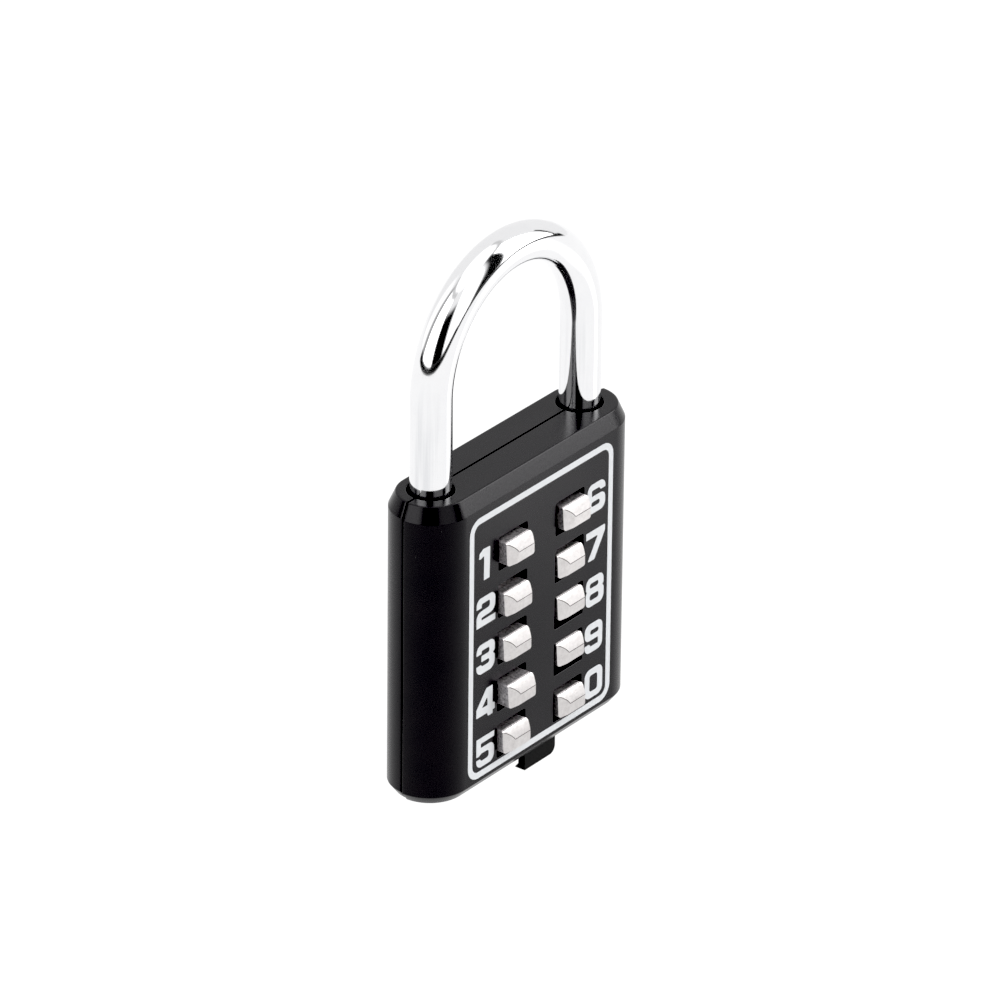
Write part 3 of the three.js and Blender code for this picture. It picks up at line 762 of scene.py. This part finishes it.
class NodeTree:
    """Short calls that add nodes to a tree and return their outputs."""

    def __init__(self, tree):
        self.tree = tree

    def plug(self, value, socket):
        """Links another node's output to a socket, or sets the socket to a number or vector."""
        if isinstance(value, bpy.types.NodeSocket):
            self.tree.links.new(value, socket)
        else:
            socket.default_value = value

    def node(self, kind, **inputs):
        made = self.tree.nodes.new(kind)
        for socket, value in inputs.items():
            self.plug(value, made.inputs[socket.replace("_", " ")])
        return made

    def maths(self, operation, *values):
        made = self.tree.nodes.new("ShaderNodeMath")
        made.operation = operation
        for socket, value in zip(made.inputs, values):
            self.plug(value, socket)
        return made.outputs["Value"]

    def degrees(self, operation, *values):
        """The angle that an inverse function gives, in degrees."""
        return self.maths("MULTIPLY", self.maths(operation, *values), 180 / math.pi)

    def vector_maths(self, operation, vector, other):
        made = self.tree.nodes.new("ShaderNodeVectorMath")
        made.operation = operation
        self.plug(vector, made.inputs[0])
        self.plug(other, made.inputs["Scale" if operation == "SCALE" else 1])
        return made.outputs["Vector"]

    def remap(self, value, span, to_span, smooth=False):
        made = self.node("ShaderNodeMapRange", Value=value)
        made.interpolation_type = "SMOOTHSTEP" if smooth else "LINEAR"
        for socket, number in zip(("From Min", "From Max", "To Min", "To Max"), (*span, *to_span)):
            made.inputs[socket].default_value = number
        return made.outputs["Result"]

    def blend(self, amount, first, second):
        """A colour between two, each a plain colour or another node's."""
        made = self.tree.nodes.new("ShaderNodeMix")
        made.data_type = "RGBA"
        self.plug(amount, made.inputs["Factor"])
        for index, colour in zip(MIX_COLOURS, (first, second)):
            is_plain = not isinstance(colour, bpy.types.NodeSocket)
            self.plug((*colour, 1) if is_plain else colour, made.inputs[index])
        return made.outputs[MIX_RESULT]


class Recipe(NodeTree):
    """A node material round a Principled shader, with its patterns in millimetres."""

    def __init__(self, name, **settings):
        self.material = bpy.data.materials.new(name)
        self.material.use_nodes = True
        super().__init__(self.material.node_tree)
        self.shader = self.tree.nodes["Principled BSDF"]
        for socket, value in settings.items():
            self.shader.inputs[socket.replace("_", " ")].default_value = value
        place = self.tree.nodes.new("ShaderNodeTexCoord").outputs["Object"]
        self.place = self.vector_maths("SCALE", place, 1 / MM)

    def feed(self, socket, source):
        self.tree.links.new(source, self.shader.inputs[socket])

    def stretched(self, x, y, z):
        return self.vector_maths("MULTIPLY", self.place, (x, y, z))

    def noise(self, per_mm, detail=2.0, rough=0.5, vector=None):
        place = vector or self.place
        made = self.node("ShaderNodeTexNoise", Vector=place, Scale=per_mm, Detail=detail, Roughness=rough)
        return made.outputs["Fac"]

    def specks(self, per_mm, radius):
        """White dots at random places on black."""
        cells = self.node("ShaderNodeTexVoronoi", Vector=self.place, Scale=per_mm)
        return self.remap(cells.outputs["Distance"], (radius, radius / 2), (0, 1))

    def bump(self, height, depth, strength=1.0, under=None):
        """Raises the surface by up to a depth in millimetres."""
        made = self.node("ShaderNodeBump", Height=height, Strength=strength, Distance=depth * MM)
        if under:
            self.plug(under, made.inputs["Normal"])
        return made.outputs["Normal"]


def grey(level):
    return (level, level, level)


def painted_metal():
    """Satin paint with a fine grain, a slight waviness and a few specks of dust."""
    recipe = Recipe("black_paint", IOR=1.37, Specular_Tint=(0.99, 0.98, 1.0, 1))
    mottle = recipe.noise(0.22, 3)
    fine = recipe.noise(7.0, 3, 0.6)
    dust = recipe.specks(0.4, 0.022)
    base = recipe.blend(mottle, (0.005, 0.005, 0.006), (0.009, 0.008, 0.009))
    recipe.feed("Base Color", recipe.blend(dust, base, grey(0.12)))
    recipe.feed("Roughness", recipe.remap(fine, (0.3, 0.7), (0.2, 0.3)))
    grain = recipe.bump(fine, 0.0012, 0.5)
    recipe.feed("Normal", recipe.bump(recipe.noise(1.2, 2), 0.008, 0.4, grain))
    return recipe.material


def chromed_steel():
    """Plating over a drawn bar, with faint marks up and down the legs."""
    recipe = Recipe("chrome", Metallic=1.0)
    smudge = recipe.noise(0.35, 4, 0.6)
    streaks = recipe.remap(recipe.noise(0.75, 3, 0.5, recipe.stretched(1, 1, 0.03)), (0.46, 0.62), (0, 1))
    height = recipe.node("ShaderNodeSeparateXYZ", Vector=recipe.place).outputs["Z"]
    on_legs = recipe.remap(height, (ARCH_Z - 3, ARCH_Z + 9), (1, 0), True)
    recipe.feed("Roughness", recipe.remap(smudge, (0.35, 0.75), (0.05, 0.12)))
    plating = recipe.blend(smudge, (0.88, 0.88, 0.885), (0.82, 0.82, 0.835))
    marked = recipe.maths("MULTIPLY", streaks, on_legs)
    recipe.feed("Base Color", recipe.blend(marked, plating, (0.74, 0.745, 0.76)))
    recipe.feed("Normal", recipe.bump(recipe.noise(0.5, 2), 0.006, 0.4))
    return recipe.material


def satin_nickel():
    """Satin plating with pits on the front, over rough and darker as-cast sides."""
    recipe = Recipe("satin_nickel", Metallic=1.0)
    normal = recipe.tree.nodes.new("ShaderNodeNewGeometry").outputs["Normal"]
    facing = recipe.node("ShaderNodeSeparateXYZ", Vector=normal).outputs
    is_front = recipe.remap(recipe.maths("ABSOLUTE", facing["Y"]), (0.3, 0.6), (0, 1))
    grain = recipe.noise(7.0, 4, 0.7)
    blotch = recipe.noise(1.6, 4, 0.65)
    pits = recipe.specks(1.9, 0.09)
    plated = recipe.blend(recipe.remap(blotch, (0.3, 0.7), (0, 1)), (0.67, 0.65, 0.645), (0.55, 0.53, 0.525))
    plated = recipe.blend(pits, plated, (0.3, 0.28, 0.27))
    scale = recipe.noise(2.8, 5, 0.7)
    cast = recipe.blend(recipe.remap(scale, (0.35, 0.65), (0, 1)), (0.68, 0.65, 0.665), (0.2, 0.195, 0.2))
    recipe.feed("Base Color", recipe.blend(is_front, cast, plated))
    polished = recipe.remap(grain, (0.3, 0.7), (0.26, 0.38))
    rougher = recipe.remap(is_front, (0, 1), (0.22, 0))
    recipe.feed("Roughness", recipe.maths("ADD", polished, rougher))
    recipe.feed("Normal", recipe.bump(blotch, 0.02, 0.35, recipe.bump(grain, 0.01, 0.8)))
    return recipe.material


def black_plastic():
    """Moulded plastic with a fine texture."""
    recipe = Recipe("black_plastic", IOR=1.27)
    texture = recipe.noise(5.0, 3, 0.6)
    recipe.feed("Base Color", recipe.blend(recipe.noise(0.5), grey(0.003), grey(0.007)))
    recipe.feed("Roughness", recipe.remap(texture, (0.3, 0.7), (0.32, 0.48)))
    recipe.feed("Normal", recipe.bump(texture, 0.015, 0.5))
    return recipe.material


def worked_steel(name, colour, roughness):
    """Bare steel with fine rolling marks up and down and a slight stain."""
    recipe = Recipe(name, Metallic=1.0)
    marks = recipe.noise(6.0, 3, 0.6, recipe.stretched(1, 1, 0.08))
    stain = recipe.noise(0.4, 3)
    recipe.feed("Base Color", recipe.blend(stain, colour, tuple(0.75 * level for level in colour)))
    recipe.feed("Roughness", recipe.remap(marks, (0.3, 0.7), (roughness - 0.06, roughness + 0.1)))
    recipe.feed("Normal", recipe.bump(marks, 0.006, 0.5))
    return recipe.material


def white_ink():
    """Screen-printed ink, slightly speckled."""
    recipe = Recipe("white_ink", IOR=1.45)
    speckle = recipe.noise(4.0, 3, 0.6)
    recipe.feed("Base Color", recipe.blend(speckle, (0.64, 0.655, 0.67), (0.55, 0.56, 0.575)))
    recipe.feed("Roughness", recipe.remap(speckle, (0.3, 0.7), (0.38, 0.55)))
    recipe.feed("Normal", recipe.bump(speckle, 0.006, 0.4))
    return recipe.material


# ---- Studio ----

# The tent's panels and the dark gaps between them, in degrees. Azimuth 0 is behind the object and 90 is to
# its right. Later ones lie over earlier ones. Lean is degrees of azimuth for each degree of elevation.
TENT = {
    "ceiling": {"azimuth": (-200, 200), "elevation": (64, 100), "soft": 3, "level": 1.5},
    "front panel left of centre": {"azimuth": (-200, -146), "elevation": (4, 60), "soft": 2, "level": 1.6},
    "front panel right of centre": {"azimuth": (166, 200), "elevation": (4, 60), "soft": 2, "level": 1.6},
    "key panel": {"azimuth": (113, 146), "elevation": (3, 60), "soft": 2, "level": 6.0},
    "left panel": {"azimuth": (-102, -50), "elevation": (4, 58), "soft": 3, "level": 3.0},
    "rear left panel": {"azimuth": (-32, -8), "elevation": (3, 50), "soft": 6, "level": 1.3},
    "gap over the side panels": {"azimuth": (-110, -20), "elevation": (59, 65), "soft": 2, "level": 0.7},
    "gap over the key panel": {"azimuth": (60, 150), "elevation": (59, 65), "soft": 2, "level": 0.7},
    "gap beside the key panel": {"azimuth": (148, 168), "elevation": (3, 64), "soft": 4, "level": 0.03,
     "lean": 0.15},
    "gap round the camera": {"azimuth": (-146, -106), "elevation": (3, 46), "soft": 5, "level": 0.01,
     "lean": -0.1},
    "gap behind the left panel": {"azimuth": (-49, -35), "elevation": (2, 60), "soft": 5, "level": 0.4},
    "slit in the right panel": {"azimuth": (111, 115), "elevation": (1, 26), "soft": 1.5, "level": 0.05,
     "lean": 0.3},
    "skirting in front": {"azimuth": (-200, -32), "elevation": (-1, 6), "soft": 2.0, "level": 0.03},
    "skirting at the right": {"azimuth": (104, 200), "elevation": (-1, 4.2), "soft": 1.2, "level": 0.03},
}
BACKDROP_LEVEL = 0.98
# Extra light from the floor at the front right, in metres from the middle and degrees of azimuth.
POOL = {"distance": (0.05, 0.11), "start": (121, 133), "end": (136, 148), "level": 0.85}
FLOOR = {"radius": 4000, "gap": 1, "thickness": 1}
BLACK_POINT = 0.033


def studio_light():
    """A white tent of soft panels round the object."""
    world = bpy.data.worlds.new("tent")
    bpy.context.scene.world = world
    world.use_nodes = True
    nodes = NodeTree(world.node_tree)
    ray = world.node_tree.nodes.new("ShaderNodeTexCoord").outputs["Generated"]
    parts = nodes.node("ShaderNodeSeparateXYZ", Vector=ray).outputs
    azimuth = nodes.degrees("ARCTAN2", parts["X"], parts["Y"])
    elevation = nodes.degrees("ARCSINE", parts["Z"])
    level = BACKDROP_LEVEL
    for panel in TENT.values():
        soft = panel["soft"]
        leant = nodes.maths("MULTIPLY_ADD", elevation, panel.get("lean", 0), azimuth)
        mask = 1
        for value, (low, high) in ((leant, panel["azimuth"]), (elevation, panel["elevation"])):
            mask = nodes.maths("MULTIPLY", mask, nodes.remap(value, (low - soft, low + soft), (0, 1), True))
            mask = nodes.maths("MULTIPLY", mask, nodes.remap(value, (high - soft, high + soft), (1, 0), True))
        change = nodes.maths("SUBTRACT", panel["level"], level)
        level = nodes.maths("MULTIPLY_ADD", change, mask, level)
    background = world.node_tree.nodes["Background"]
    nodes.plug(level, background.inputs["Strength"])
    background.inputs["Color"].default_value = (1, 1, 1, 1)


def studio_floor():
    """A pale floor, with a soft pool of extra light at the front right."""
    top = TAB_LOW.z - FLOOR["gap"]
    disc = circle(FLOOR["radius"], 64)
    floor = loft("floor", [[(a, b, z) for a, b in disc] for z in (top - FLOOR["thickness"], top)])
    material = bpy.data.materials.new("floor")
    material.use_nodes = True
    nodes = NodeTree(material.node_tree)
    place = material.node_tree.nodes.new("ShaderNodeTexCoord").outputs["Object"]
    parts = nodes.node("ShaderNodeSeparateXYZ", Vector=place).outputs
    azimuth = nodes.degrees("ARCTAN2", parts["X"], parts["Y"])
    squares = [nodes.maths("POWER", parts[axis], 2) for axis in "XY"]
    distance = nodes.maths("SQRT", nodes.maths("ADD", *squares))
    pool = nodes.remap(distance, POOL["distance"], (0, POOL["level"]), True)
    for azimuth_span, mask_span in ((POOL["start"], (0, 1)), (POOL["end"], (1, 0))):
        pool = nodes.maths("MULTIPLY", pool, nodes.remap(azimuth, azimuth_span, mask_span, True))
    shader = material.node_tree.nodes["Principled BSDF"]
    shader.inputs["Base Color"].default_value = (0.06, 0.06, 0.06, 1)
    shader.inputs["Roughness"].default_value = 1.0
    shader.inputs["Specular IOR Level"].default_value = 0.0
    shader.inputs["Emission Color"].default_value = (1, 1, 1, 1)
    nodes.plug(nodes.maths("ADD", pool, 1.0), shader.inputs["Emission Strength"])
    floor.data.materials.append(material)


def develop():
    """Plain colour, with deep blacks."""
    settings = bpy.context.scene.view_settings
    settings.view_transform = "Standard"
    settings.use_curve_mapping = True
    settings.curve_mapping.black_level = (BLACK_POINT, BLACK_POINT, BLACK_POINT)
    settings.curve_mapping.update()


# Angles in degrees, and distances in millimetres but for the clips, in metres.
CAMERA = {"azimuth": 52.332, "elevation": 28.201, "roll": 0.611, "distance": 1258.8, "aim": (-1.2, 0, 38.81),
          "lens": 324, "sensor": 36, "clip_start": 0.05, "clip_end": 20}


def camera():
    """Looks down on the front from the left."""
    azimuth, elevation, roll = (math.radians(CAMERA[key]) for key in ("azimuth", "elevation", "roll"))
    across = Vector((math.cos(azimuth), -math.sin(azimuth), 0))
    ahead = Vector((
        math.sin(azimuth) * math.cos(elevation),
        math.cos(azimuth) * math.cos(elevation),
        -math.sin(elevation),
    ))
    upward = across.cross(ahead)
    right = across * math.cos(roll) + upward * math.sin(roll)
    up = upward * math.cos(roll) - across * math.sin(roll)
    data = bpy.data.cameras.new("camera")
    data.lens = CAMERA["lens"]
    data.sensor_width = CAMERA["sensor"]
    data.clip_start = CAMERA["clip_start"]
    data.clip_end = CAMERA["clip_end"]
    view = bpy.data.objects.new("camera", data)
    bpy.context.scene.collection.objects.link(view)
    turn = Matrix((right, up, -ahead)).transposed()
    place = to_frame(CAMERA["aim"]) - ahead * CAMERA["distance"] * MM
    view.matrix_world = Matrix.Translation(place) @ turn.to_4x4()
    bpy.context.scene.camera = view


# ---- Assembly ----

HIDDEN_NODES = ("gate_plate", "toe_latch", "stem_guide_plate", "heel_stop_pin")  # they keep their CAD meshes


def build_padlock():
    """Makes every piece, and gives the hidden CAD nodes their finish."""
    paint = painted_metal()
    nickel = satin_nickel()
    # Dark steel for the crease grooves: painted shade along the buttons' ridges and hips.
    crease = worked_steel("painted_crease_shade", (0.06, 0.05, 0.05), 0.5)
    inner = worked_steel("inner_steel", (0.55, 0.55, 0.56), 0.35)
    front_shell(paint)
    rear_shell(paint)
    shackle(chromed_steel())
    rivet_finish = worked_steel("blackened_steel", (0.06, 0.06, 0.065), 0.4)
    for node in RIVETS:
        rivet(node, rivet_finish)
    for digit in range(10):
        button(digit, nickel, crease)
    pull_tab(black_plastic())
    springs(worked_steel("spring_wire", (0.5, 0.5, 0.52), 0.28))
    prints(white_ink())
    for name in HIDDEN_NODES:
        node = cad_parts[name]
        node.data.materials.clear()
        node.data.materials.append(inner)


build_padlock()
studio_light()
studio_floor()
camera()
develop()
